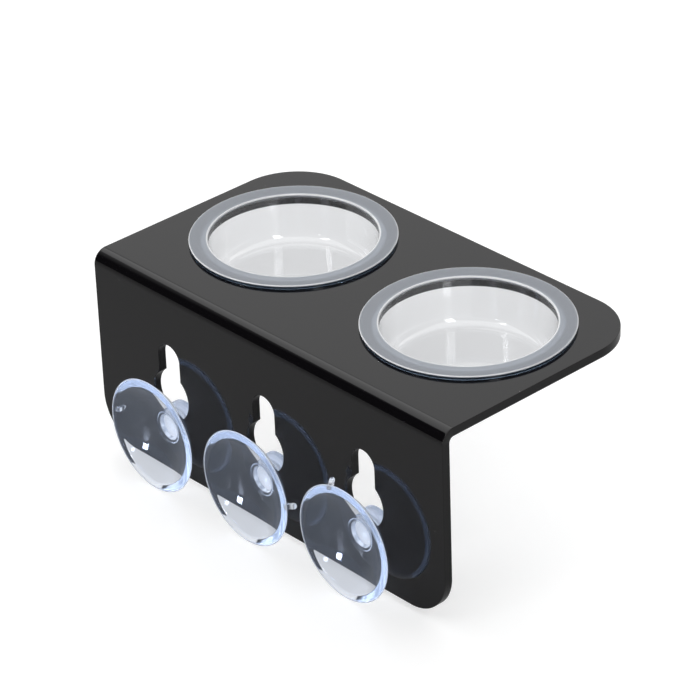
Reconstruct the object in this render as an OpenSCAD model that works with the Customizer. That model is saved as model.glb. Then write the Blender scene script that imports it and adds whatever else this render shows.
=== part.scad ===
// Gecko feeding ledge: one bent acrylic sheet, two lift-out feeding cups in its shelf,
// and three suction cups whose necks slide in keyholes of the hanging plate.
// Origin: centre of the middle suction cup's rim, on the glass.
// +X runs along the ledge, +Y from the glass into the enclosure, +Z up.
// Left and right are as seen from the glass side, looking along +Y.

/* [Ledge sheet] */
// Width of the ledge along the bend
ledge_w = 142; // [138:1:180]
// Depth of the shelf, from the plate's glass-side face to the back edge
shelf_depth = 79; // [77:1:110]
// Height of the plate, from its bottom edge to the shelf's top face
plate_h = 60; // [54:1:90]
// Thickness of the acrylic sheet
sheet_t = 2.7; // [2:0.1:4]
// Inside radius of the bend
bend_r = 1.6; // [1:0.1:6]
// Radius of the shelf's two back corners
shelf_corner_r = 19; // [5:0.5:25]
// Radius of the plate's two bottom corners
plate_corner_r = 13.5; // [4:0.5:15]

/* [Feeding cups] */
// Outside diameter of the flange that rests on the shelf
flange_d = 60; // [57:0.5:62]
// Thickness of the flange
flange_t = 1.2; // [1:0.1:3]
// Inside diameter of the mouth
mouth_d = 49.2; // [40:0.2:52]
// Inside depth, from the flange's top to the floor
cup_depth = 14.1; // [10:0.1:30]
// Thickness of the wall
cup_wall = 1.2; // [0.8:0.1:2]
// Thickness of the floor
cup_floor_t = 1.3; // [0.8:0.1:3]
// Draft of the wall, in degrees from upright
cup_draft = 6; // [1:0.5:8]
// Inside radius between the wall and the floor
cup_fillet_r = 3; // [1:0.1:5]
// Margin between a flange and the shelf's back edge
back_margin = 4.2; // [2:0.2:8]
// Radial clearance of a cup's wall in its hole
hole_clearance = 0.6; // [0.3:0.1:1.2]

/* [Suction cups] */
// Diameter of the rim
suction_d = 35; // [30:0.5:36]
// Height of the dome, from the glass to its back
dome_h = 7.7; // [6:0.1:10]
// Thickness of the dome at its middle
dome_wall = 1.6; // [1:0.1:2.5]
// Width of the flat sealing lip
lip_w = 2.5; // [1.4:0.1:3]
// Diameter of the neck
neck_d = 8.2; // [6:0.1:10]
// How far the shoulder behind the dome stands out from the neck
shoulder_w = 0.9; // [0.5:0.1:2.5]
// How far the head stands out from the neck
head_overhang = 1.9; // [1.3:0.1:2.5]
// Thickness of the head
head_t = 4; // [3:0.1:6]
// Height of the head's domed crown
head_crown = 2.2; // [1:0.1:2.8]
// Margin between the outer rims and the ends of the plate
end_margin = 13.5; // [12:0.5:15]
// Clearance of the plate between shoulder and head, on each side
seat_gap = 0.4; // [0.2:0.1:1]

/* [Pull tabs] */
// How far the tab reaches past the rim
tab_l = 1.8; // [1.5:0.1:3.2]
// Width of the tab
tab_w = 1.8; // [1.5:0.1:4]
// Thickness of the tab
tab_t = 0.9; // [0.6:0.1:1.2]
// Turn of the left cup's tab, in degrees from +X towards +Z
left_tab_turn = 172; // [0:1:360]
// Turn of the middle cup's tab
middle_tab_turn = 3; // [0:1:360]
// Turn of the right cup's tab
right_tab_turn = 110; // [0:1:360]
// Lean of the left cup's tab away from the glass, in degrees
left_tab_lean = 85; // [10:1:90]
// Lean of the middle cup's tab
middle_tab_lean = 40; // [10:1:90]
// Lean of the right cup's tab
right_tab_lean = 35; // [10:1:90]

/* [Keyholes] */
// Radial clearance of the neck in the slot
slot_clearance = 0.4; // [0.3:0.1:1]
// Radial clearance of the head in the round eye
eye_clearance = 1.5; // [0.8:0.1:2]
// Slide of a suction cup from the slot's lower end to its upper end
slot_travel = 21.7; // [17:0.1:26]
// Height of the eye's centre above the neck at the lower end
eye_rise = 9.8; // [8:0.1:13]
// Height of the neck at the lower end above the plate's bottom edge
slot_base = 15.3; // [13:0.1:18]

/* [Hidden] */
$fn = 96;
// Overrun of every cutting solid past the faces that it cuts
cut = 1;
// How far the tab's root lies in from the rim's edge, and its height off the glass
tab_bite = 1.5;
tab_lift = 0.5;

neck_r = neck_d / 2;
head_r = neck_r + head_overhang;
slot_d = neck_d + 2 * slot_clearance;
eye_d = 2 * (head_r + eye_clearance);
neck_l = sheet_t + 2 * seat_gap;
suction_pitch = (ledge_w - suction_d) / 2 - end_margin;

plate_y = dome_h + seat_gap;
plate_z = -slot_base;
shelf_z = plate_z + plate_h;
bend_outer_r = bend_r + sheet_t;

flange_r = flange_d / 2;
wall_top_r = mouth_d / 2 + cup_wall;
cup_y = plate_y + shelf_depth - back_margin - flange_r;
hole_d = 2 * (wall_top_r + hole_clearance);

// Radius of the sphere whose cap has base radius r and height h
function cap_radius(r, h) = (r * r + h * h) / (2 * h);

// Side view of the bent sheet: upright plate, quarter-ring bend, level shelf
module sheet_profile() {
  square([sheet_t, plate_h - bend_outer_r]);
  translate([bend_outer_r, plate_h - sheet_t])
    square([shelf_depth - bend_outer_r, sheet_t]);
  translate([bend_outer_r, plate_h - bend_outer_r])
    intersection() {
      difference() {
        circle(r = bend_outer_r);
        circle(r = bend_r);
      }
      translate([-bend_outer_r, 0])
        square(bend_outer_r);
    }
}

// Rectangle centred on x whose two far corners are round
module round_ended(width, length, corner_r) {
  translate([-width / 2, 0])
    square([width, length - corner_r]);
  translate([corner_r - width / 2, 0])
    square([width - 2 * corner_r, length]);
  for (side = [-1, 1])
    translate([side * (width / 2 - corner_r), length - corner_r])
      circle(r = corner_r);
}

// Round hole that a feeding cup hangs in
module cup_hole() {
  translate([0, cup_y, shelf_z - sheet_t - cut])
    cylinder(d = hole_d, h = sheet_t + 2 * cut);
}

// Slot with a round eye, cut through the plate from the glass side
module keyhole() {
  through = sheet_t + 2 * cut;
  translate([0, plate_y - cut, 0]) {
    for (height = [0, slot_travel])
      translate([0, 0, height])
        rotate([-90, 0, 0])
          cylinder(d = slot_d, h = through);
    translate([-slot_d / 2, 0, 0])
      cube([slot_d, through, slot_travel]);
    translate([0, 0, eye_rise])
      rotate([-90, 0, 0])
        cylinder(d = eye_d, h = through);
  }
}

// The bent sheet: its profile swept along the bend, trimmed to the round corners, then cut
module ledge() {
  color([0.11, 0.105, 0.115])
    difference() {
      intersection() {
        translate([-ledge_w / 2, plate_y, plate_z])
          rotate([90, 0, 90])
            linear_extrude(ledge_w)
              sheet_profile();
        translate([0, plate_y, plate_z - cut])
          linear_extrude(plate_h + 2 * cut)
            round_ended(ledge_w, shelf_depth, shelf_corner_r);
        translate([0, plate_y - cut, shelf_z])
          rotate([-90, 0, 0])
            linear_extrude(shelf_depth + 2 * cut)
              round_ended(ledge_w, plate_h, plate_corner_r);
      }
      for (side = [-1, 1])
        translate([side * ledge_w / 4, 0, 0])
          cup_hole();
      for (place = [-1, 0, 1])
        translate([place * suction_pitch, 0, 0])
          keyhole();
    }
}

// Half section of a drafted bowl, from its axis outwards, with a round edge to its floor
module bowl_profile(floor_r, depth, fillet_r) {
  fillet_x = floor_r + fillet_r * tan(cup_draft) - fillet_r / cos(cup_draft);
  polygon([
    [0, 0],
    [fillet_x, 0],
    [fillet_x + fillet_r * cos(cup_draft), fillet_r * (1 - sin(cup_draft))],
    [floor_r + depth * tan(cup_draft), depth],
    [0, depth]
  ]);
  translate([fillet_x, fillet_r])
    circle(r = fillet_r);
}

// Flanged drop-in cup with a drafted wall, in the middle of its half of the shelf
module feeding_cup(side) {
  body_h = cup_depth + cup_floor_t;
  mouth_r = mouth_d / 2;
  floor_r = mouth_r - cup_depth * tan(cup_draft);
  wall_r = cup_wall / cos(cup_draft);
  base_r = mouth_r - body_h * tan(cup_draft) + wall_r;
  color([0.86, 0.9, 0.93, 0.45])
    translate([side * ledge_w / 4, cup_y, shelf_z + flange_t - body_h])
      rotate_extrude()
        difference() {
          union() {
            bowl_profile(base_r, body_h, cup_fillet_r + cup_wall);
            translate([0, body_h - flange_t])
              square([flange_r, flange_t]);
          }
          translate([0, cup_floor_t])
            bowl_profile(floor_r, cup_depth + cut, cup_fillet_r);
        }
}

// Short round-ended tongue on the rim, leaning away from the glass
module pull_tab(lean) {
  reach = tab_bite + tab_l;
  translate([suction_d / 2 - tab_bite, 0, tab_lift])
    rotate([0, -lean, 0])
      linear_extrude(tab_t) {
        translate([0, -tab_w / 2])
          square([reach - tab_w / 2, tab_w]);
        translate([reach - tab_w / 2, 0])
          circle(d = tab_w);
      }
}

// One moulded suction cup: hollow dome, shoulder, neck, mushroom head and pull tab
module suction_cup(place, tab_turn, tab_lean) {
  rim_r = suction_d / 2;
  hollow_r = rim_r - lip_w;
  hollow_h = dome_h - dome_wall;
  outer_r = cap_radius(rim_r, dome_h);
  inner_r = cap_radius(hollow_r, hollow_h);
  crown_r = cap_radius(head_r, head_crown);
  color([0.78, 0.87, 0.97, 0.5])
    translate([place * suction_pitch, 0, 0])
      rotate([-90, 0, 0]) {
        difference() {
          union() {
            intersection() {
              translate([0, 0, dome_h - outer_r])
                sphere(r = outer_r);
              cylinder(r = rim_r + cut, h = dome_h + cut);
            }
            translate([0, 0, dome_h - dome_wall])
              cylinder(r = neck_r + shoulder_w, h = dome_wall);
            translate([0, 0, dome_h - dome_wall])
              cylinder(r = neck_r, h = dome_wall + neck_l + head_t - head_crown);
            rotate([0, 0, -tab_turn])
              pull_tab(tab_lean);
          }
          translate([0, 0, hollow_h - inner_r])
            sphere(r = inner_r);
        }
        translate([0, 0, dome_h + neck_l])
          intersection() {
            cylinder(r = head_r, h = head_t);
            translate([0, 0, head_t - crown_r])
              sphere(r = crown_r);
          }
      }
}

module feeding_cup_left() { feeding_cup(-1); }
module feeding_cup_right() { feeding_cup(1); }
module suction_cup_left() { suction_cup(-1, left_tab_turn, left_tab_lean); }
module suction_cup_middle() { suction_cup(0, middle_tab_turn, middle_tab_lean); }
module suction_cup_right() { suction_cup(1, right_tab_turn, right_tab_lean); }

ledge();
feeding_cup_left();
feeding_cup_right();
suction_cup_left();
suction_cup_middle();
suction_cup_right();
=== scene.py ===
"""Looks of the gecko feeding ledge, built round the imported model.

One black acrylic sheet, bent once, carries two clear feeding cups in its shelf and hangs on glass by
three clear suction cups whose necks sit in keyholes. Sizes are in millimetres in the part's own frame:
origin at the middle suction cup's rim on the glass, +X along the bend, +Y into the enclosure, +Z up.
"""

import logging
import math
from dataclasses import dataclass
from enum import Enum
from typing import Any

import bmesh
import bpy
import numpy as np
from mathutils import Matrix, Vector


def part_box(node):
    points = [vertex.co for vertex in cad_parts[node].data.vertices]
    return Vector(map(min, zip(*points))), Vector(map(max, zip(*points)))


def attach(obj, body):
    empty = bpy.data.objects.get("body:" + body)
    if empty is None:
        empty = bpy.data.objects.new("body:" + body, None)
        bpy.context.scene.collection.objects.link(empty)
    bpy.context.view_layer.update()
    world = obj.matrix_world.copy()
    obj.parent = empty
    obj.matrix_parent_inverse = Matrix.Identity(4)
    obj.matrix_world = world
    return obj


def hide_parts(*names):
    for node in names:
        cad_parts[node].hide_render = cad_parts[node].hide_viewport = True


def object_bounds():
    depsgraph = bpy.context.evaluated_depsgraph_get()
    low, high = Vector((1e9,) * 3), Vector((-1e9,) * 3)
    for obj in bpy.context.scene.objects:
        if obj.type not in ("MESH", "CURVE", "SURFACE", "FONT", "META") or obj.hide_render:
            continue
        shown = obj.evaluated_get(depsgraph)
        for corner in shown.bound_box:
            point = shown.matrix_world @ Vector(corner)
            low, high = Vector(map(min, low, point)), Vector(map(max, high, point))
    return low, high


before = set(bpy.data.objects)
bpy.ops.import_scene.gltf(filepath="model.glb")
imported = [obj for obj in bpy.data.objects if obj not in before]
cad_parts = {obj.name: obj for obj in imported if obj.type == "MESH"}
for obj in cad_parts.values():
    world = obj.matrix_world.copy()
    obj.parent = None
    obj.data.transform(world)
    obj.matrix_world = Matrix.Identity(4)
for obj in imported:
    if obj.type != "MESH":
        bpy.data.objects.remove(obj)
cad_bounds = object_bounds()

LOG = logging.getLogger("feeding_ledge")
MM = 0.001
# Points nearer to each other than this become one.
WELD_MM = 0.002
# No divisor falls below this.
TINY = 1e-9
# How many fine points the rounding of corners averages on each side.
EASING_REACH = 12
# Names of the mesh attributes that the clear plastics read.
HAZE = "haze"
SHADE = "shade"


class Place(Enum):
    """Where a repeated piece sits along the bend, as seen from the glass side."""

    LEFT = -1
    MIDDLE = 0
    RIGHT = 1

    @property
    def label(self) -> str:
        """The place's name as the nodes spell it."""
        return self.name.lower()


def linear(hex_colour: str) -> tuple[float, float, float, float]:
    """Turn an sRGB hex colour into linear light, by the standard's curve: a straight foot, then a power.

    Args:
        hex_colour: six hex digits after a hash sign.

    Returns:
        Red, green, blue and an alpha of 1, in linear light.
    """
    srgb = np.array([int(hex_colour[i:i + 2], 16) for i in (1, 3, 5)]) / 255.0
    light = np.where(srgb <= 0.04045, srgb / 12.92, ((srgb + 0.055) / 1.055) ** 2.4)
    return (*light.tolist(), 1.0)


def add_node(tree: bpy.types.NodeTree, kind: str, inputs: dict[Any, Any] | None = None,
             **settings: Any) -> bpy.types.Node:
    """Add one node with its settings and links.

    Args:
        tree: the node tree that takes the node.
        kind: the node's Blender type.
        inputs: a value, or another node's output socket, for each input by name or number.
        settings: the node's own properties.

    Returns:
        The new node.
    """
    node = tree.nodes.new(kind)
    for name, value in settings.items():
        setattr(node, name, value)
    for name, value in (inputs or {}).items():
        if isinstance(value, bpy.types.NodeSocket):
            tree.links.new(value, node.inputs[name])
        else:
            node.inputs[name].default_value = value
    return node


def empty_tree(owner: bpy.types.Material | bpy.types.World) -> bpy.types.NodeTree:
    """Give a material or world an empty node tree.

    Args:
        owner: the material or world.

    Returns:
        The tree.
    """
    owner.use_nodes = True
    owner.node_tree.nodes.clear()
    return owner.node_tree


@dataclass
class Patch:
    """A stretch of surface: its points in millimetres and its four-sided faces."""

    points: np.ndarray
    faces: np.ndarray

    @staticmethod
    def joined(patches: list["Patch"]) -> "Patch":
        """Put several patches into one: face numbers move up past the points that come before.

        Args:
            patches: the patches in order.

        Returns:
            One patch with all their points and faces.
        """
        starts = np.cumsum([0] + [len(p.points) for p in patches[:-1]])
        faces = [p.faces + start for p, start in zip(patches, starts)]
        return Patch(np.concatenate([p.points for p in patches]), np.concatenate(faces))


def grid_faces(rows: int, columns: int, closed: bool) -> np.ndarray:
    """Number the faces of a grid of points that is stored row after row.

    Each face goes from a point to the next row, then to the next column, and back.

    Args:
        rows: how many rows of points there are.
        columns: how many points each row has.
        closed: whether the last column joins the first.

    Returns:
        One row of four point numbers per face.
    """
    steps = columns if closed else columns - 1
    row, column = np.meshgrid(np.arange(rows - 1), np.arange(steps), indexing="ij")
    near = row * columns + column
    far = row * columns + (column + 1) % columns
    return np.stack([near, near + columns, far + columns, far], axis=-1).reshape(-1, 4)


def arc(centre: tuple[float, float], radius: float, start: float, stop: float, count: int) -> np.ndarray:
    """Points of a circle's arc: centre plus radius times cosine and sine of evenly spaced angles.

    Args:
        centre: the circle's centre.
        radius: its radius.
        start: angle of the first point, in degrees.
        stop: angle of the last point, in degrees.
        count: how many points there are.

    Returns:
        The points, one per row.
    """
    angle = np.radians(np.linspace(start, stop, count))
    return np.array(centre) + radius * np.stack([np.cos(angle), np.sin(angle)], axis=1)


def span(start: tuple[float, float], stop: tuple[float, float], step: float) -> np.ndarray:
    """Points of a straight line: the start plus equal shares of the way to the stop.

    Args:
        start: the first point.
        stop: the line's end, which is left out.
        step: about how far apart the points are.

    Returns:
        The points, one per row.
    """
    start_point, stop_point = np.array(start, float), np.array(stop, float)
    count = max(1, round(float(np.linalg.norm(stop_point - start_point)) / step))
    return start_point + np.linspace(0, 1, count, endpoint=False)[:, None] * (stop_point - start_point)


def walked(points: np.ndarray, pitch: float) -> np.ndarray:
    """Points at an even pitch along a line: each coordinate is interpolated over the length walked.

    Args:
        points: the line's corners.
        pitch: about how far apart the new points are.

    Returns:
        The new points, with both ends kept.
    """
    length = np.concatenate([[0], np.cumsum(np.linalg.norm(np.diff(points, axis=0), axis=1))])
    stations = np.linspace(0, length[-1], max(2, round(length[-1] / pitch)) + 1)
    return np.stack([np.interp(stations, length, points[:, k]) for k in (0, 1)], axis=1)


def eased(profile: np.ndarray, easing: float, step: float) -> np.ndarray:
    """Round every sharp corner of a half section that starts and ends on its axis.

    The section is walked at a fine even pitch, mirrored across the axis at both ends so that it meets
    the axis squarely, and each point becomes the average of its neighbours under a raised cosine that
    is one easing length wide. It is then walked again at the coarser step.

    Args:
        profile: radius and height of each point.
        easing: width of the average, about twice the corner radius that it leaves.
        step: pitch of the finished section.

    Returns:
        The rounded section, with both ends on the axis.
    """
    reach = EASING_REACH
    fine = walked(profile, easing / (2 * reach))
    across = fine * [-1, 1]
    padded = np.concatenate([across[reach:0:-1], fine, across[-2:-reach - 2:-1]])
    weight = np.hanning(2 * reach + 3)[1:-1]
    weight = weight / weight.sum()
    smooth = np.stack([np.convolve(padded[:, k], weight, "valid") for k in (0, 1)], axis=1)
    smooth[[0, -1], 0] = 0.0
    return walked(smooth, step)


def turned(profile: np.ndarray, segments: int) -> Patch:
    """Carry a half section round the upright axis.

    A point is radius times cosine, radius times sine, and height, so both ends on the axis become poles.

    Args:
        profile: radius and height of each point, outwards over the top and back along the underside.
        segments: how many steps make the full turn.

    Returns:
        The closed surface.
    """
    turn = np.linspace(0, 2 * np.pi, segments, endpoint=False)
    radius, height = profile[:, :1], profile[:, 1:]
    heights = np.repeat(height, segments, axis=1)
    points = np.stack([radius * np.cos(turn), radius * np.sin(turn), heights], axis=-1)
    return Patch(points.reshape(-1, 3), grid_faces(len(profile), segments, closed=True))


def make_piece(name: str, patch: Patch, materials: list[bpy.types.Material]) -> bpy.types.Object:
    """Make a smooth mesh object whose seams and poles are welded, at the origin.

    Args:
        name: the piece's name.
        patch: its surface, in millimetres.
        materials: its materials, in the order of their slots.

    Returns:
        The object, linked to the scene.
    """
    mesh = bpy.data.meshes.new(name)
    mesh.from_pydata((patch.points * MM).tolist(), [], patch.faces.tolist())
    shell = bmesh.new()
    shell.from_mesh(mesh)
    bmesh.ops.remove_doubles(shell, verts=shell.verts, dist=WELD_MM * MM)
    shell.to_mesh(mesh)
    shell.free()
    mesh.shade_smooth()
    for material in materials:
        mesh.materials.append(material)
    piece = bpy.data.objects.new(name, mesh)
    bpy.context.scene.collection.objects.link(piece)
    return piece


def points_mm(mesh: bpy.types.Mesh) -> np.ndarray:
    """Read the points of a mesh.

    Args:
        mesh: the piece's mesh.

    Returns:
        The points in millimetres, one per row.
    """
    points = np.empty(len(mesh.vertices) * 3)
    mesh.vertices.foreach_get("co", points)
    return points.reshape(-1, 3) / MM


def set_attribute(mesh: bpy.types.Mesh, name: str, values: np.ndarray) -> None:
    """Store one number for each point of a mesh, for its material to read.

    Args:
        mesh: the piece's mesh.
        name: the attribute's name.
        values: the number of each point, from 0 to 1.
    """
    attribute = mesh.attributes.new(name, "FLOAT", "POINT")
    attribute.data.foreach_set("value", values.astype(np.float32))


def box_mm(node: str) -> tuple[np.ndarray, np.ndarray]:
    """A node's lowest and highest corners, in millimetres."""
    low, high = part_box(node)
    return np.array(low) / MM, np.array(high) / MM


@dataclass(frozen=True)
class CastAcrylic:
    """Black cast acrylic sheet, polished: a near-black body under a clear mirror-like skin.

    The eye sees only what the skin mirrors, softened by a trace of handling haze, a slow ripple left by
    casting, and a few specks of dust.
    """

    name: str = "black_cast_acrylic_polished"
    colour: str = "#070608"
    dust_colour: str = "#8f8d8a"
    ior: float = 1.49
    roughness: tuple[float, float] = (0.03, 0.075)
    haze_mm: float = 14.0
    haze_detail: float = 6.0
    haze_gain: float = 0.62
    haze_span: tuple[float, float] = (0.35, 0.7)
    ripple_mm: float = 26.0
    ripple_height_mm: float = 0.006
    dust_spacing_mm: float = 7.0
    dust_radius_mm: float = 0.16
    dust_core: float = 0.4

    def material(self) -> bpy.types.Material:
        """Build the material: noise drives the roughness and the bump, and cell centres the dust.

        Returns:
            The material.
        """
        material = bpy.data.materials.new(self.name)
        tree = empty_tree(material)
        place = add_node(tree, "ShaderNodeTexCoord").outputs["Object"]
        haze = add_node(tree, "ShaderNodeTexNoise", {
            "Vector": place, "Scale": 1 / (self.haze_mm * MM), "Detail": self.haze_detail,
            "Roughness": self.haze_gain})
        roughness = add_node(tree, "ShaderNodeMapRange", {
            "Value": haze.outputs["Fac"], "From Min": self.haze_span[0], "From Max": self.haze_span[1],
            "To Min": self.roughness[0], "To Max": self.roughness[1]})
        ripple = add_node(tree, "ShaderNodeTexNoise", {
            "Vector": place, "Scale": 1 / (self.ripple_mm * MM), "Detail": 1.0})
        bump = add_node(tree, "ShaderNodeBump", {
            "Height": ripple.outputs["Fac"], "Strength": 1.0, "Distance": self.ripple_height_mm * MM})
        specks = add_node(tree, "ShaderNodeTexVoronoi", {
            "Vector": place, "Scale": 1 / (self.dust_spacing_mm * MM), "Randomness": 1.0})
        speck = self.dust_radius_mm / self.dust_spacing_mm
        dust = add_node(tree, "ShaderNodeMapRange", {
            "Value": specks.outputs["Distance"], "From Min": speck, "From Max": self.dust_core * speck})
        colour = add_node(tree, "ShaderNodeMix", {
            "Factor": dust.outputs["Result"], "A": linear(self.colour), "B": linear(self.dust_colour)},
            data_type="RGBA")
        skin = add_node(tree, "ShaderNodeBsdfPrincipled", {
            "Base Color": colour.outputs["Result"], "Roughness": roughness.outputs["Result"],
            "IOR": self.ior, "Normal": bump.outputs["Normal"]})
        add_node(tree, "ShaderNodeOutputMaterial", {"Surface": skin.outputs["BSDF"]})
        return material


@dataclass(frozen=True)
class CutAcrylicEdge:
    """The same acrylic where a laser cut it: a satin edge with the fine grain that the beam leaves.

    The real grain is about a tenth of a millimetre wide. It is drawn wider, so that it shows.
    """

    name: str = "black_cast_acrylic_laser_cut"
    colour: str = "#0b0a0c"
    ior: float = 1.49
    roughness: tuple[float, float] = (0.08, 0.16)
    grain_mm: float = 0.55
    grain_height_mm: float = 0.004
    grain_span: tuple[float, float] = (0.3, 0.7)

    def material(self) -> bpy.types.Material:
        """Build the material: one noise drives the roughness and the bump.

        Returns:
            The material.
        """
        material = bpy.data.materials.new(self.name)
        tree = empty_tree(material)
        place = add_node(tree, "ShaderNodeTexCoord").outputs["Object"]
        grain = add_node(tree, "ShaderNodeTexNoise", {
            "Vector": place, "Scale": 1 / (self.grain_mm * MM), "Detail": 2.0, "Roughness": 0.5})
        roughness = add_node(tree, "ShaderNodeMapRange", {
            "Value": grain.outputs["Fac"], "From Min": self.grain_span[0], "From Max": self.grain_span[1],
            "To Min": self.roughness[0], "To Max": self.roughness[1]})
        bump = add_node(tree, "ShaderNodeBump", {
            "Height": grain.outputs["Fac"], "Strength": 1.0, "Distance": self.grain_height_mm * MM})
        skin = add_node(tree, "ShaderNodeBsdfPrincipled", {
            "Base Color": linear(self.colour), "Roughness": roughness.outputs["Result"],
            "IOR": self.ior, "Normal": bump.outputs["Normal"]})
        add_node(tree, "ShaderNodeOutputMaterial", {"Surface": skin.outputs["BSDF"]})
        return material


@dataclass(frozen=True)
class ClearMoulding:
    """A clear moulded plastic: light goes through it, bends, and takes a tint on a long way inside.

    Where the mesh's haze attribute rises from 0 to 1 the plastic turns from clear to hazed, so that it
    scatters light itself and shows pale over a dark ground. Where its shade attribute rises from 0 to 1
    the surface turns a greyer blue: on a flange's satin top that is its tint, and on a flange's outer wall
    and in the corner under the flange it is painted shade. A slow ripple from the mould wavers the view.
    Soft plastic also scatters a little light all the way through. A faint painted glow of the volume stands
    in for that, so edges that are seen the long way through look pale.
    """

    name: str
    colour: str
    depth_tint: str
    depth_density: float
    ior: float
    roughness: tuple[float, float]
    clearness: tuple[float, float]
    satin_and_shade_colour: str = "#ffffff"
    sheen_tint: str = "#ffffff"
    glow_colour: str = "#ffffff"
    glow_per_mm: float = 0.0
    full_roughness_haze: float = 0.25
    ripple_mm: float = 8.0
    ripple_height_mm: float = 0.001
    roughness_spread: float = 0.02

    def material(self) -> bpy.types.Material:
        """Build the material: a clear skin that the two attributes dull, over a tinted volume.

        Returns:
            The material.
        """
        material = bpy.data.materials.new(self.name)
        tree = empty_tree(material)
        place = add_node(tree, "ShaderNodeTexCoord").outputs["Object"]
        haze = add_node(tree, "ShaderNodeAttribute", attribute_name=HAZE).outputs["Fac"]
        shade = add_node(tree, "ShaderNodeAttribute", attribute_name=SHADE).outputs["Fac"]
        flow = add_node(tree, "ShaderNodeTexNoise", {
            "Vector": place, "Scale": 1 / (self.ripple_mm * MM), "Detail": 2.0})
        bump = add_node(tree, "ShaderNodeBump", {
            "Height": flow.outputs["Fac"], "Strength": 1.0, "Distance": self.ripple_height_mm * MM})
        base = add_node(tree, "ShaderNodeMapRange", {
            "Value": haze, "From Max": self.full_roughness_haze, "To Min": self.roughness[0],
            "To Max": self.roughness[1]})
        roughness = add_node(tree, "ShaderNodeMath", {
            0: flow.outputs["Fac"], 1: self.roughness_spread, 2: base.outputs["Result"]},
            operation="MULTIPLY_ADD")
        clearness = add_node(tree, "ShaderNodeMapRange", {
            "Value": haze, "To Min": self.clearness[0], "To Max": self.clearness[1]})
        # The shade colour is the satin tint, and elsewhere painted shade, wherever the shade attribute puts
        # it.
        colour = add_node(tree, "ShaderNodeMix", {
            "Factor": shade, "A": linear(self.colour), "B": linear(self.satin_and_shade_colour)}, data_type="RGBA")
        skin = add_node(tree, "ShaderNodeBsdfPrincipled", {
            "Base Color": colour.outputs["Result"], "Roughness": roughness.outputs["Value"],
            "IOR": self.ior, "Specular Tint": linear(self.sheen_tint),
            "Transmission Weight": clearness.outputs["Result"], "Normal": bump.outputs["Normal"]})
        depth = add_node(tree, "ShaderNodeVolumeAbsorption", {
            "Color": linear(self.depth_tint), "Density": self.depth_density})
        # Painted glow: the volume gives off light of its own, in place of the light it would scatter.
        glow = add_node(tree, "ShaderNodeEmission", {
            "Color": linear(self.glow_colour), "Strength": self.glow_per_mm / MM})
        inside = add_node(tree, "ShaderNodeAddShader", {
            0: depth.outputs["Volume"], 1: glow.outputs["Emission"]})
        add_node(tree, "ShaderNodeOutputMaterial", {
            "Surface": skin.outputs["BSDF"], "Volume": inside.outputs["Shader"]})
        return material


# Injection-moulded polystyrene is hard, glassy and almost without colour. The eye sees sharp highlights and
# what lies behind it, and the satin flange as a pale blue-grey ring with bright edges.
# Its shade colour also serves as painted shade on the flange's outer wall and in the corner under the
# flange.
POLYSTYRENE = ClearMoulding(
    name="clear_polystyrene_moulded", colour="#f2f3f5", depth_tint="#dfe8ef", depth_density=20.0, ior=1.59,
    roughness=(0.005, 0.5), clearness=(0.975, 0.1), satin_and_shade_colour="#56708f")
# Moulded soft PVC is clear with a blue cast. The eye sees a pale blue band in the thick rim, partly from a
# painted glow of the volume, and a slightly blue sheen on the thin dome.
SOFT_PVC = ClearMoulding(
    name="clear_soft_pvc_moulded", colour="#e9edf4", depth_tint="#c4dafb", depth_density=26.0, ior=1.53,
    roughness=(0.005, 0.2), clearness=(0.99, 0.2), sheen_tint="#d8e5ff", glow_colour="#cfe2ff",
    glow_per_mm=0.019, ripple_height_mm=0.0006)


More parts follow.
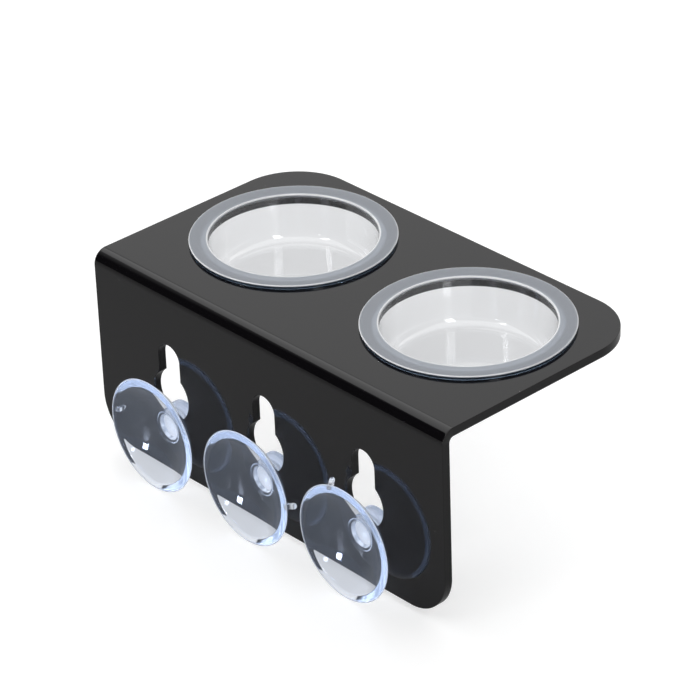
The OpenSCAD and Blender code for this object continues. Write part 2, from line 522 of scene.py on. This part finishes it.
@dataclass
class LedgeSheet:
    """The bent sheet: upright plate with three keyholes, quarter-round bend, shelf with two holes."""

    node: str = "ledge"
    slot: str = "black_acrylic"
    thickness: float = 2.7
    bend_inside: float = 1.6
    shelf_corner: float = 19.0
    plate_corner: float = 13.5
    hole_radius: float = 26.4
    slot_width: float = 9.0
    slot_travel: float = 21.7
    eye_radius: float = 7.5
    eye_rise: float = 9.8
    keyhole_pitch: float = 40.0
    back_margin: float = 4.2
    flange_radius: float = 30.0
    edge_round: float = 0.22
    edge_segments: int = 3
    edge_angle: float = 40.0
    flat_weight: int = 100
    step: float = 0.5
    rings: int = 6
    bend_points: int = 25

    def __post_init__(self) -> None:
        """Read the overall sizes from the frame."""
        self.low, self.high = box_mm(self.node)
        self.bend_outside = self.bend_inside + self.thickness
        self.plate_top = self.high[2] - self.bend_outside
        self.shelf_front = self.low[1] + self.bend_outside
        self.cup_y = self.high[1] - self.back_margin - self.flange_radius

    def ring(self, outline: np.ndarray, opening: np.ndarray) -> np.ndarray:
        """Rule a flat surface from an opening's edge to an outline with as many points.

        A point is the opening's point plus a share, from 0 to 1, of the way to the outline's point.

        Args:
            outline: the outline's points, anticlockwise.
            opening: the matching points on the opening's edge.

        Returns:
            The points ring by ring, from the opening outwards.
        """
        share = np.linspace(0, 1, self.rings)[:, None, None]
        return (opening + share * (outline - opening)).reshape(-1, 2)

    def keyhole_reach(self, angle: np.ndarray) -> np.ndarray:
        """How far the keyhole's edge lies from the eye's centre in each direction.

        The keyhole is the eye's circle joined to an upright slot with round ends, so its reach is the
        longer of the circle's radius and the way to the slot's side or to its end's circle.

        Args:
            angle: directions from +X towards +Z, in radians.

        Returns:
            The distance in each direction.
        """
        half = self.slot_width / 2
        across, along = np.cos(angle), np.sin(angle)
        side = half / np.maximum(np.abs(across), TINY)
        end = np.where(along > 0, self.slot_travel - self.eye_rise, self.eye_rise)
        climb = end * np.abs(along)
        past = climb + np.sqrt(np.maximum(half ** 2 - (end * across) ** 2, 0))
        slot = np.where(side * np.abs(along) <= end, side, past)
        return np.maximum(slot, self.eye_radius)

    def plate_block(self, place: Place) -> Patch:
        """The plate round one keyhole, on the glass-side face.

        Args:
            place: which keyhole it is.

        Returns:
            The flat surface between the keyhole and its share of the plate's outline.
        """
        centre = place.value * self.keyhole_pitch
        left = self.low[0] if place is Place.LEFT else centre - self.keyhole_pitch / 2
        right = self.high[0] if place is Place.RIGHT else centre + self.keyhole_pitch / 2
        bottom, top, corner = self.low[2], self.plate_top, self.plate_corner
        count = round(corner / self.step)
        left_turn = corner if place is Place.LEFT else 0.0
        right_turn = corner if place is Place.RIGHT else 0.0
        sides = [span((left + left_turn, bottom), (right - right_turn, bottom), self.step)]
        if right_turn:
            sides.append(arc((right - corner, bottom + corner), corner, -90, 0, count)[:-1])
        sides.append(span((right, bottom + right_turn), (right, top), self.step))
        sides.append(span((right, top), (left, top), self.step))
        sides.append(span((left, top), (left, bottom + left_turn), self.step))
        if left_turn:
            sides.append(arc((left + corner, bottom + corner), corner, 180, 270, count)[:-1])
        outline = np.concatenate(sides)
        middle = np.array([centre, self.eye_rise])
        angle = np.arctan2(*(outline - middle).T[::-1])
        # The nearest directions move onto the four corners where the slot's sides meet the eye.
        notch = math.asin(self.slot_width / 2 / self.eye_radius)
        upright = math.pi / 2
        for corner_angle in (upright - notch, upright + notch, notch - upright, -upright - notch):
            angle[np.argmin(np.abs(angle - corner_angle))] = corner_angle
        reach = self.keyhole_reach(angle)[:, None]
        flat = self.ring(outline, middle + reach * np.stack([np.cos(angle), np.sin(angle)], axis=1))
        points = np.stack([flat[:, 0], np.full(len(flat), self.low[1]), flat[:, 1]], axis=1)
        return Patch(points, grid_faces(self.rings, len(outline), closed=True))

    def shelf_block(self, place: Place) -> Patch:
        """Half of the shelf's top face, round one cup hole.

        Args:
            place: which hole it is.

        Returns:
            The flat surface between the hole and that half of the shelf's outline.
        """
        end = self.low[0] if place is Place.LEFT else self.high[0]
        front, back, corner = self.shelf_front, self.high[1], self.shelf_corner
        side, count = abs(end), round(corner / self.step)
        right_half = np.concatenate([
            span((0, front), (side, front), self.step),
            span((side, front), (side, back - corner), self.step),
            arc((side - corner, back - corner), corner, 0, 90, count)[:-1],
            span((side - corner, back), (0, back), self.step),
            span((0, back), (0, front), self.step)])
        outline = right_half if place is Place.RIGHT else (right_half * [-1, 1])[::-1]
        middle = np.array([end / 2, self.cup_y])
        away = outline - middle
        opening = middle + self.hole_radius * away / np.linalg.norm(away, axis=1, keepdims=True)
        flat = self.ring(outline, opening)
        points = np.column_stack([flat, np.full(len(flat), self.high[2])])
        return Patch(points, grid_faces(self.rings, len(outline), closed=True))

    def bend(self) -> Patch:
        """The bend's outer face: a quarter circle in side view, carried along the ledge's width.

        Returns:
            The curved surface between the plate and the shelf.
        """
        middle = (self.shelf_front, self.plate_top)
        side_view = arc(middle, self.bend_outside, 180, 90, self.bend_points)
        width = self.high[0] - self.low[0]
        along = np.linspace(self.low[0], self.high[0], round(width / self.step) + 1)
        rows, columns = np.meshgrid(np.arange(len(along)), np.arange(len(side_view)), indexing="ij")
        points = np.column_stack([along[rows.ravel()], side_view[columns.ravel()]])
        return Patch(points, grid_faces(len(along), len(side_view), closed=False))

    def build(self) -> list[bpy.types.Object]:
        """Make the sheet from its outer skin, give it its thickness and ease its cut edges.

        Returns:
            The one piece.
        """
        skin = Patch.joined(
            [self.plate_block(place) for place in Place]
            + [self.shelf_block(Place.LEFT), self.shelf_block(Place.RIGHT), self.bend()])
        piece = make_piece("ledge_sheet", skin, [CastAcrylic().material(), CutAcrylicEdge().material()])
        solid = piece.modifiers.new("sheet_thickness", "SOLIDIFY")
        solid.thickness = self.thickness * MM
        solid.offset = -1.0
        solid.use_even_offset = True
        solid.material_offset_rim = 1
        bevel = piece.modifiers.new("eased_edges", "BEVEL")
        bevel.width = self.edge_round * MM
        bevel.segments = self.edge_segments
        bevel.limit_method = "ANGLE"
        bevel.angle_limit = math.radians(self.edge_angle)
        normals = piece.modifiers.new("flat_faces_stay_flat", "WEIGHTED_NORMAL")
        normals.weight = self.flat_weight
        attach(piece, self.node)
        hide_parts(self.node)
        return [piece]


@dataclass
class FeedingCup:
    """A clear drop-in cup: flange, drafted wall and flat floor, turned round its own axis."""

    place: Place
    material: bpy.types.Material
    slot: str = "clear_polystyrene"
    flange_thickness: float = 1.2
    mouth_radius: float = 24.6
    wall: float = 1.2
    floor_thickness: float = 1.3
    draft: float = 6.0
    fillet: float = 3.0
    fillet_points: int = 16
    seat_bite: float = 0.02
    satin_haze: float = 0.49
    satin_shade: float = 0.5
    bright_edge: float = 0.3
    # Width of the painted shade in the corner under the flange, next to the wall.
    shaded_corner_width: float = 1.0
    easing: float = 0.5
    step: float = 0.25
    segments: int = 160

    def bowl_side(self, floor_radius: float, floor: float, top: float, fillet: float) -> np.ndarray:
        """Half section of a bowl from its axis along the floor, round a fillet and up the drafted wall.

        Args:
            floor_radius: where wall and floor would meet without the fillet.
            floor: height of the floor.
            top: height of the wall's top.
            fillet: radius of the round between floor and wall.

        Returns:
            Radius and height of each point.
        """
        draft = math.radians(self.draft)
        centre = floor_radius + fillet * math.tan(draft) - fillet / math.cos(draft)
        corner = arc((centre, floor + fillet), fillet, -90, -self.draft, self.fillet_points)
        wall_top = floor_radius + (top - floor) * math.tan(draft)
        return np.concatenate([[[0.0, floor]], corner, [[wall_top, top]]])

    def build(self) -> list[bpy.types.Object]:
        """Turn the cup's half section round its axis.

        Returns:
            The one piece.
        """
        node = f"feeding_cup_{self.place.label}"
        low, high = box_mm(node)
        slope, top, base = math.tan(math.radians(self.draft)), high[2], low[2]
        floor = base + self.floor_thickness
        flange_radius = (high[0] - low[0]) / 2
        wall_radius = self.wall / math.cos(math.radians(self.draft))
        under = top - self.flange_thickness - self.seat_bite
        inside = self.bowl_side(self.mouth_radius - (top - floor) * slope, floor, top, self.fillet)
        outside = self.bowl_side(
            self.mouth_radius - (top - base) * slope + wall_radius, base, under, self.fillet + self.wall)
        profile = np.concatenate([inside, [[flange_radius, top], [flange_radius, under]], outside[::-1]])
        patch = turned(eased(profile, self.easing, self.step), self.segments)
        patch.points[:, :2] += (low[:2] + high[:2]) / 2
        piece = make_piece(f"{node}_moulding", patch, [self.material])
        middle = (low + high) / 2
        haze, shade = self.flange_finish(points_mm(piece.data) - middle, flange_radius, top - middle[2])
        set_attribute(piece.data, HAZE, haze)
        set_attribute(piece.data, SHADE, shade)
        # The shadow of clear plastic would come out nearly black.
        piece.visible_shadow = False
        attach(piece, node)
        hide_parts(node)
        return [piece]

    def flange_finish(self, points: np.ndarray, flange_radius: float,
                      top: float) -> tuple[np.ndarray, np.ndarray]:
        """Satin on the flange's top, bright hazed edges, painted shade on the outer wall and inner corner
        below.

        Args:
            points: points from the cup's middle.
            flange_radius: the flange's outer radius.
            top: height of the flange's top.

        Returns:
            The haze and the shade of each point.
        """
        radius = np.hypot(points[:, 0], points[:, 1])
        on_top = points[:, 2] > top - self.bright_edge
        outer_wall = radius > flange_radius - self.bright_edge
        edge = on_top & (outer_wall | (radius < self.mouth_radius + self.bright_edge))
        # Painted shade: the flange's outer wall and a narrow corner under the flange, next to the wall,
        # take the full shade colour.
        from_wall = radius - self.mouth_radius - self.wall
        corner = (from_wall > 0) & (from_wall < self.shaded_corner_width)
        corner &= points[:, 2] > top - self.flange_thickness - self.shaded_corner_width
        haze = np.where(edge, 1.0, np.where(on_top, self.satin_haze, 0.0))
        painted_shade = np.where(outer_wall | corner, 1.0, 0.0)
        shade = np.where(edge, 0.0, np.where(on_top, self.satin_shade, painted_shade))
        return haze, shade


@dataclass
class SuctionCup:
    """A clear suction cup: hollow dome with a flat lip, shoulder, neck, mushroom head and a pull tab."""

    place: Place
    material: bpy.types.Material
    tab_turn: float
    tab_lean: float
    slot: str = "clear_soft_pvc"
    rim_radius: float = 17.5
    dome_height: float = 7.7
    dome_wall: float = 1.6
    lip: float = 2.5
    neck_radius: float = 4.1
    neck_length: float = 3.5
    shoulder: float = 0.9
    head_overhang: float = 1.9
    head_height: float = 4.0
    crown: float = 2.2
    pitch: float = 40.0
    tab_length: float = 1.8
    tab_width: float = 1.8
    tab_thickness: float = 0.9
    tab_bite: float = 1.5
    tab_lift: float = 0.5
    tab_power: float = 4.0
    tab_rows: int = 12
    tip_rows: int = 14
    tab_columns: int = 28
    haze_width: float = 0.6
    stem_haze: float = 0.26
    easing: float = 0.6
    step: float = 0.25
    segments: int = 112
    crown_points: int = 24
    dome_points: int = 60

    @staticmethod
    def cap(base_radius: float, height: float, top: float, inner_radius: float, count: int) -> np.ndarray:
        """Half section of a sphere's cap, from a given radius out to its base.

        The sphere's radius is the base radius squared plus the height squared, over twice the height.

        Args:
            base_radius: radius of the cap's base circle.
            height: the cap's height over its base.
            top: height of the cap's highest point.
            inner_radius: radius at which the section starts.
            count: how many points there are.

        Returns:
            Radius and height of each point.
        """
        sphere = (base_radius ** 2 + height ** 2) / (2 * height)
        start = math.degrees(math.acos(inner_radius / sphere))
        stop = math.degrees(math.acos(base_radius / sphere))
        return arc((0.0, top - sphere), sphere, start, stop, count)

    def section(self) -> np.ndarray:
        """Half section from the head's crown along the neck, over the dome, round the lip, into the hollow.

        Returns:
            Radius and height over the glass of each point.
        """
        head_radius = self.neck_radius + self.head_overhang
        shoulder_radius = self.neck_radius + self.shoulder
        head_base = self.dome_height + self.neck_length
        hollow_height = self.dome_height - self.dome_wall
        head_top, count = head_base + self.head_height, self.dome_points
        crown = self.cap(head_radius, self.crown, head_top, 0.0, self.crown_points)
        dome = self.cap(self.rim_radius, self.dome_height, self.dome_height, shoulder_radius, count)
        hollow = self.cap(self.rim_radius - self.lip, hollow_height, hollow_height, 0.0, count)
        stem = [[head_radius, head_base], [self.neck_radius, head_base],
                [self.neck_radius, self.dome_height], [shoulder_radius, self.dome_height]]
        return np.concatenate([crown, stem, dome, hollow[::-1]])

    def haze(self, points: np.ndarray) -> np.ndarray:
        """Haze along the rim's very edge, where the plastic is worn, and a little on the neck and head.

        Args:
            points: points from the middle of the rim.

        Returns:
            The haze of each point.
        """
        radius = np.hypot(points[:, 0], points[:, 2])
        near = np.clip(1 - (self.rim_radius - radius) / self.haze_width, 0, 1)
        rim = np.where(radius > self.rim_radius + self.easing / 2, 0.0, near)
        return np.where(points[:, 1] > self.dome_height, self.stem_haze, rim)

    def tab(self) -> Patch:
        """The pull tab: a flat oval section carried along a straight line that leans back from the rim.

        Half the width and half the thickness shrink to nothing at the tip as the ordinates of a circle do,
        and close the root inside the lip. The section is a squared oval, the fourth-power kind.

        Returns:
            The closed surface, in the part's frame.
        """
        turn, lean = math.radians(self.tab_turn), math.radians(self.tab_lean)
        outward = np.array([math.cos(turn), 0.0, math.sin(turn)])
        back = np.array([0.0, 1.0, 0.0])
        across = np.cross(back, outward)
        along = math.cos(lean) * outward + math.sin(lean) * back
        up = -math.sin(lean) * outward + math.cos(lean) * back
        root = self.rim_radius - self.tab_bite
        length = self.tab_bite + self.tab_length
        half = self.tab_width / 2
        straight = length - half
        rounding = half * np.sin(np.linspace(0, np.pi / 2, self.tip_rows)[1:])
        way = np.concatenate([[0.0], np.linspace(0, straight, self.tab_rows), straight + rounding])
        tip = np.sqrt(np.clip(1 - (np.maximum(way - straight, 0) / half) ** 2, 0, 1))
        tip[0] = 0.0
        turn_round = np.linspace(0, 2 * np.pi, self.tab_columns, endpoint=False)[::-1]
        cosine, sine, power = np.cos(turn_round), np.sin(turn_round), 2 / self.tab_power
        oval_x = np.sign(cosine) * np.abs(cosine) ** power
        oval_y = np.sign(sine) * np.abs(sine) ** power
        start = outward * root + back * self.tab_lift + up * self.tab_thickness / 2
        centre = start + way[:, None] * along
        points = (centre[:, None, :]
                  + (tip * half)[:, None, None] * oval_x[:, None] * across
                  + (np.sqrt(tip) * self.tab_thickness / 2)[:, None, None] * oval_y[:, None] * up)
        return Patch(points.reshape(-1, 3), grid_faces(len(way), len(turn_round), closed=True))

    def build(self) -> list[bpy.types.Object]:
        """Turn the section round the neck's axis, lay that axis along +Y and add the tab.

        Returns:
            The one piece.
        """
        node = f"suction_cup_{self.place.label}"
        body = turned(eased(self.section(), self.easing, self.step), self.segments)
        body.points = body.points[:, [0, 2, 1]] * [1, 1, -1]
        patch = Patch.joined([body, self.tab()])
        centre = np.array([self.place.value * self.pitch, 0.0, 0.0])
        patch.points += centre
        piece = make_piece(f"{node}_moulding", patch, [self.material])
        set_attribute(piece.data, HAZE, self.haze(points_mm(piece.data) - centre))
        # The shadow of clear plastic would come out nearly black.
        piece.visible_shadow = False
        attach(piece, node)
        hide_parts(node)
        return [piece]


@dataclass(frozen=True)
class Softbox:
    """A flat studio lamp that faces the part, seen in mirror images or not.

    Angles are in degrees, the azimuth from +X towards +Y, lengths in metres and the power in watts.
    """

    name: str
    azimuth: float
    elevation: float
    distance: float
    width: float
    height: float
    power: float
    mirrored: bool = True

    def build(self, target: Vector) -> bpy.types.Object:
        """Hang the lamp at its distance from the target.

        Args:
            target: the point that it faces.

        Returns:
            The lamp.
        """
        azimuth, elevation = math.radians(self.azimuth), math.radians(self.elevation)
        level = math.cos(elevation)
        away = Vector((math.cos(azimuth) * level, math.sin(azimuth) * level, math.sin(elevation)))
        lamp = bpy.data.lights.new(self.name, "AREA")
        lamp.shape = "RECTANGLE"
        lamp.size = self.width
        lamp.size_y = self.height
        lamp.energy = self.power
        holder = bpy.data.objects.new(self.name, lamp)
        holder.location = target + away * self.distance
        holder.rotation_euler = away.to_track_quat("Z", "Y").to_euler()
        holder.visible_camera = False
        holder.visible_glossy = self.mirrored
        bpy.context.scene.collection.objects.link(holder)
        return holder


@dataclass
class Studio:
    """White floor and backdrop, softboxes and the camera.

    The suction cups' rims guide light by total reflection, so it needs many bounces to come out again.
    """

    camera_place: tuple[float, float, float] = (650.2, -544.0, 537.2)
    camera_azimuth: float = 48.02
    camera_elevation: float = 30.25
    camera_roll: float = -2.08
    focal_pixels: float = 3620.0
    image_pixels: float = 700.0
    sensor_mm: float = 36.0
    floor_half_width: float = 3.0
    floor_albedo: float = 0.66
    floor_albedo_mirrored: float = 0.42
    floor_glow: float = 0.46
    floor_roughness: float = 0.3
    glow_after_mirror: float = 0.0
    light_bounces: int = 32
    backdrop_stops: tuple[tuple[float, float], ...] = (
        (-0.4, 0.2), (-0.1, 0.03), (0.18, 0.03), (0.38, 0.38),
        (0.56, 0.53), (0.73, 0.65), (0.86, 0.92), (1.0, 1.0))
    backdrop_white_below: float = 0.1
    backdrop_grey_above: float = 0.4
    backdrop_grey: float = 0.35
    # Name, azimuth, elevation, distance, width, height and power. From the right side the mirror image of
    # the left lamp would turn the black shelf white, so it has none.
    softboxes: tuple[Softbox, ...] = (
        Softbox("overhead_softbox", 120.0, 86.0, 1.6, 3.0, 3.0, 29.0),
        Softbox("front_softbox", -97.0, 6.0, 1.3, 0.18, 0.18, 4.4),
        Softbox("front_fill_softbox", -79.0, 16.0, 1.3, 0.12, 0.12, 0.6),
        Softbox("right_strip_softbox", -17.0, 30.0, 1.3, 0.22, 0.9, 3.2),
        Softbox("front_high_softbox", -97.0, 46.0, 1.3, 0.14, 0.28, 1.0),
        Softbox("left_softbox", 188.0, 20.0, 1.4, 0.7, 0.7, 3.0, mirrored=False))

    def floor(self) -> bpy.types.Object:
        """A pale floor that shows white to the eye and through clear plastic, and keeps the shadow.

        In mirror images it is darker and has no glow, so that polished black sheet stays black.

        Returns:
            The floor.
        """
        material = bpy.data.materials.new("satin_white_floor")
        tree = empty_tree(material)
        ray = add_node(tree, "ShaderNodeLightPath").outputs
        albedo = add_node(tree, "ShaderNodeMapRange", {
            "Value": ray["Is Glossy Ray"], "To Min": self.floor_albedo,
            "To Max": self.floor_albedo_mirrored})
        satin = add_node(tree, "ShaderNodeBsdfPrincipled", {
            "Base Color": albedo.outputs["Result"], "Roughness": self.floor_roughness})
        straight = add_node(tree, "ShaderNodeMapRange", {
            "Value": ray["Glossy Depth"], "To Min": 1.0, "To Max": self.glow_after_mirror})
        seen = add_node(tree, "ShaderNodeMath", {
            0: ray["Is Transmission Ray"], 1: straight.outputs["Result"], 2: ray["Is Camera Ray"]},
            operation="MULTIPLY_ADD")
        glow = add_node(tree, "ShaderNodeMath", {
            0: seen.outputs[0], 1: self.floor_glow}, operation="MULTIPLY")
        light = add_node(tree, "ShaderNodeEmission", {"Strength": glow.outputs[0]})
        both = add_node(tree, "ShaderNodeAddShader", {0: satin.outputs[0], 1: light.outputs[0]})
        add_node(tree, "ShaderNodeOutputMaterial", {"Surface": both.outputs[0]})
        half, height = self.floor_half_width, cad_bounds[0].z
        mesh = bpy.data.meshes.new("studio_floor")
        corners = [(x * half, y * half, height) for x, y in ((-1, -1), (1, -1), (1, 1), (-1, 1))]
        mesh.from_pydata(corners, [], [(0, 1, 2, 3)])
        mesh.materials.append(material)
        floor = bpy.data.objects.new("studio_floor", mesh)
        bpy.context.scene.collection.objects.link(floor)
        return floor

    def world(self) -> bpy.types.World:
        """A white backdrop opposite the camera that fades into a dark room.

        It is plain white to the eye, and through clear plastic where the way out is not well upwards.

        Returns:
            The world.
        """
        world = bpy.data.worlds.new("studio_world")
        tree = empty_tree(world)
        azimuth = math.radians(self.camera_azimuth)
        backdrop = (-math.sin(azimuth), math.cos(azimuth), 0.0)
        direction = add_node(tree, "ShaderNodeTexCoord").outputs["Generated"]
        facing = add_node(tree, "ShaderNodeVectorMath", {
            0: direction, 1: backdrop}, operation="DOT_PRODUCT")
        turn = add_node(tree, "ShaderNodeMapRange", {"Value": facing.outputs["Value"], "From Min": -1.0})
        ramp = add_node(tree, "ShaderNodeValToRGB", {"Fac": turn.outputs["Result"]})
        stops = ramp.color_ramp.elements
        while len(stops) < len(self.backdrop_stops):
            stops.new(0.5)
        for stop, (position, level) in zip(stops, self.backdrop_stops):
            stop.position = (position + 1) / 2
            stop.color = (level, level, level, 1.0)
        ray = add_node(tree, "ShaderNodeLightPath").outputs
        height = add_node(tree, "ShaderNodeSeparateXYZ", {"Vector": direction}).outputs["Z"]
        low = add_node(tree, "ShaderNodeMapRange", {
            "Value": height, "From Min": self.backdrop_grey_above, "From Max": self.backdrop_white_below,
            "To Min": self.backdrop_grey, "To Max": 1.0})
        seen = add_node(tree, "ShaderNodeMath", {
            0: ray["Is Transmission Ray"], 1: low.outputs["Result"], 2: ray["Is Camera Ray"]},
            operation="MULTIPLY_ADD", use_clamp=True)
        colour = add_node(tree, "ShaderNodeMix", {
            "Factor": seen.outputs[0], "A": ramp.outputs["Color"], "B": linear("#ffffff")},
            data_type="RGBA")
        light = add_node(tree, "ShaderNodeBackground", {
            "Color": colour.outputs["Result"], "Strength": 1.0})
        add_node(tree, "ShaderNodeOutputWorld", {"Surface": light.outputs[0]})
        bpy.context.scene.world = world
        return world

    def camera(self) -> bpy.types.Object:
        """Set the camera where the photograph's was: place, aim, roll and lens fit its straight edges.

        Returns:
            The camera.
        """
        azimuth, elevation = math.radians(self.camera_azimuth), math.radians(self.camera_elevation)
        roll = math.radians(self.camera_roll)
        forward = Vector((-math.sin(azimuth) * math.cos(elevation),
                          math.cos(azimuth) * math.cos(elevation), -math.sin(elevation)))
        level = Vector((math.cos(azimuth), math.sin(azimuth), 0.0))
        upright = level.cross(forward)
        right = math.cos(roll) * level + math.sin(roll) * upright
        up = -math.sin(roll) * level + math.cos(roll) * upright
        lens = bpy.data.cameras.new("photo_camera")
        lens.sensor_width = self.sensor_mm
        lens.lens = self.focal_pixels / self.image_pixels * self.sensor_mm
        camera = bpy.data.objects.new("photo_camera", lens)
        turn = Matrix((right, up, -forward)).transposed().to_4x4()
        camera.matrix_world = Matrix.Translation(Vector(self.camera_place) * MM) @ turn
        bpy.context.scene.collection.objects.link(camera)
        bpy.context.scene.camera = camera
        return camera

    def build(self) -> None:
        """Set the floor, the backdrop, the lamps and the camera, and keep colours as they are written."""
        self.floor()
        self.world()
        middle = (cad_bounds[0] + cad_bounds[1]) / 2
        for softbox in self.softboxes:
            softbox.build(middle)
        self.camera()
        scene = bpy.context.scene
        scene.view_settings.view_transform = "Standard"
        scene.cycles.max_bounces = self.light_bounces
        scene.cycles.glossy_bounces = self.light_bounces
        scene.cycles.transmission_bounces = self.light_bounces


def main() -> None:
    """Build the ledge, the cups and the suction cups in order, then the studio."""
    logging.basicConfig(level=logging.INFO, format="%(name)s: %(message)s")
    polystyrene, soft_pvc = POLYSTYRENE.material(), SOFT_PVC.material()
    assemblies = [
        LedgeSheet(),
        FeedingCup(Place.LEFT, polystyrene),
        FeedingCup(Place.RIGHT, polystyrene),
        SuctionCup(Place.LEFT, soft_pvc, tab_turn=172.0, tab_lean=85.0),
        SuctionCup(Place.MIDDLE, soft_pvc, tab_turn=3.0, tab_lean=40.0),
        SuctionCup(Place.RIGHT, soft_pvc, tab_turn=110.0, tab_lean=35.0),
    ]
    for assembly in assemblies:
        for piece in assembly.build():
            mesh = piece.data
            LOG.info("%s: %d points, %d faces", piece.name, len(mesh.vertices), len(mesh.polygons))
    Studio().build()


if __name__ == "__main__":
    main()
